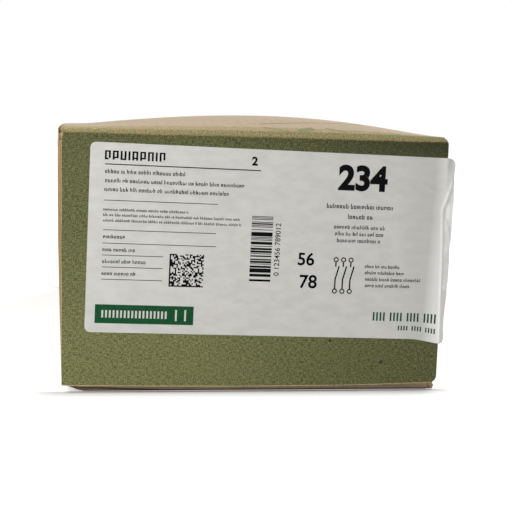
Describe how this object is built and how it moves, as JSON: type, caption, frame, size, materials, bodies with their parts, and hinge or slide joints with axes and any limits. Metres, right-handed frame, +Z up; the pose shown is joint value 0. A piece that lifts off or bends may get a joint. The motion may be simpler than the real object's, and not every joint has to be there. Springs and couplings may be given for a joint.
{
  "type": "boxed ac disconnect",
  "caption": "End-loading corrugated carton with a labelled end flap, holding a side-handled safety switch that lies on its back.",
  "frame": {"origin": "middle of the underside of the carton's bottom panel", "axes": "+Z up, the labelled end at -Y, +X to the right as the label is read"},
  "size_m": [0.2174, 0.4004, 0.1524],
  "materials": {
    "kraft_board": "uncoated kraft paper",
    "printed_board": "kraft board with a flood of olive ink",
    "label_paper": "matt label stock with black print",
    "grey_enamel": "baked enamel",
    "zinc_plated_steel": "bright zinc plating",
    "plated_copper": "rolled copper",
    "black_moulding": "moulded thermoset",
    "clear_sheet": "clear polycarbonate",
    "red_moulding": "moulded, slight gloss",
    "lug_aluminium": "extruded"
  },
  "bodies": {
    "carton": {"bottom_panel": "kraft_board", "left_panel": "kraft_board", "right_panel": "kraft_board", "top_panel": "kraft_board", "glue_tab": "kraft_board", "enclosure_tub": "grey_enamel", "enclosure_cover": "grey_enamel", "cover_hinge_pins": "zinc_plated_steel", "cover_hasp": "zinc_plated_steel", "knockout_discs": "grey_enamel", "hub_closing_plate": "grey_enamel", "hub_plate_screws": "zinc_plated_steel", "moulded_base": "black_moulding", "base_screws": "zinc_plated_steel", "line_terminals": "plated_copper", "load_terminals": "plated_copper", "lug_screws": "zinc_plated_steel", "blade_pins": "zinc_plated_steel", "line_shield": "clear_sheet", "mechanism_plate": "zinc_plated_steel", "handle_base": "black_moulding", "ground_bar": "lug_aluminium", "ground_screws": "zinc_plated_steel"},
    "front_outer": {"front_outer_flap": "printed_board", "shipping_label": "label_paper"},
    "front_inner": {"front_inner_flap": "kraft_board"},
    "front_left_dust": {"front_left_dust_flap": "kraft_board"},
    "front_right_dust": {"front_right_dust_flap": "kraft_board"},
    "rear_outer": {"rear_outer_flap": "kraft_board"},
    "rear_inner": {"rear_inner_flap": "kraft_board"},
    "rear_left_dust": {"rear_left_dust_flap": "kraft_board"},
    "rear_right_dust": {"rear_right_dust_flap": "kraft_board"},
    "handle": {"switch_handle": "red_moulding", "operating_shaft": "zinc_plated_steel", "drive_spring": "zinc_plated_steel"},
    "blade_set": {"switch_blades": "plated_copper", "crossbar": "black_moulding"}
  },
  "joints": [
    {"name": "front_outer_crease", "type": "hinge", "parent": "carton", "child": "front_outer", "pos_m": [0, -0.2, 0.1424], "axis": [-1, 0, 0], "range_deg": [0, 180]},
    {"name": "front_inner_crease", "type": "hinge", "parent": "carton", "child": "front_inner", "pos_m": [0, -0.1967, 0], "axis": [1, 0, 0], "range_deg": [0, 90]},
    {"name": "front_left_dust_crease", "type": "hinge", "parent": "carton", "child": "front_left_dust", "pos_m": [-0.106, -0.1934, 0.07], "axis": [0, 0, -1], "range_deg": [0, 90]},
    {"name": "front_right_dust_crease", "type": "hinge", "parent": "carton", "child": "front_right_dust", "pos_m": [0.106, -0.1934, 0.07], "axis": [0, 0, 1], "range_deg": [0, 90]},
    {"name": "rear_outer_crease", "type": "hinge", "parent": "carton", "child": "rear_outer", "pos_m": [0, 0.2, 0.1424], "axis": [1, 0, 0], "range_deg": [0, 180]},
    {"name": "rear_inner_crease", "type": "hinge", "parent": "carton", "child": "rear_inner", "pos_m": [0, 0.1967, 0], "axis": [-1, 0, 0], "range_deg": [0, 90]},
    {"name": "rear_left_dust_crease", "type": "hinge", "parent": "carton", "child": "rear_left_dust", "pos_m": [-0.106, 0.1934, 0.07], "axis": [0, 0, 1], "range_deg": [0, 90]},
    {"name": "rear_right_dust_crease", "type": "hinge", "parent": "carton", "child": "rear_right_dust", "pos_m": [0.106, 0.1934, 0.07], "axis": [0, 0, -1], "range_deg": [0, 90]},
    {"name": "handle_turn", "type": "hinge", "parent": "carton", "child": "handle", "pos_m": [0, 0, 0.053], "axis": [-1, 0, 0], "range_deg": [0, 110]},
    {"name": "blade_turn", "type": "hinge", "parent": "carton", "child": "blade_set", "pos_m": [0, -0.03, 0.0335], "axis": [-1, 0, 0], "range_deg": [0, 60.01]}
  ],
  "couplings": [
    {"joint": "front_inner_crease", "follows": "front_outer_crease", "ratio": 0.5},
    {"joint": "front_left_dust_crease", "follows": "front_outer_crease", "ratio": 0.5},
    {"joint": "front_right_dust_crease", "follows": "front_outer_crease", "ratio": 0.5},
    {"joint": "rear_inner_crease", "follows": "rear_outer_crease", "ratio": 0.5},
    {"joint": "rear_left_dust_crease", "follows": "rear_outer_crease", "ratio": 0.5},
    {"joint": "rear_right_dust_crease", "follows": "rear_outer_crease", "ratio": 0.5},
    {"joint": "blade_turn", "follows": "handle_turn", "ratio": 0.54546}
  ]
}
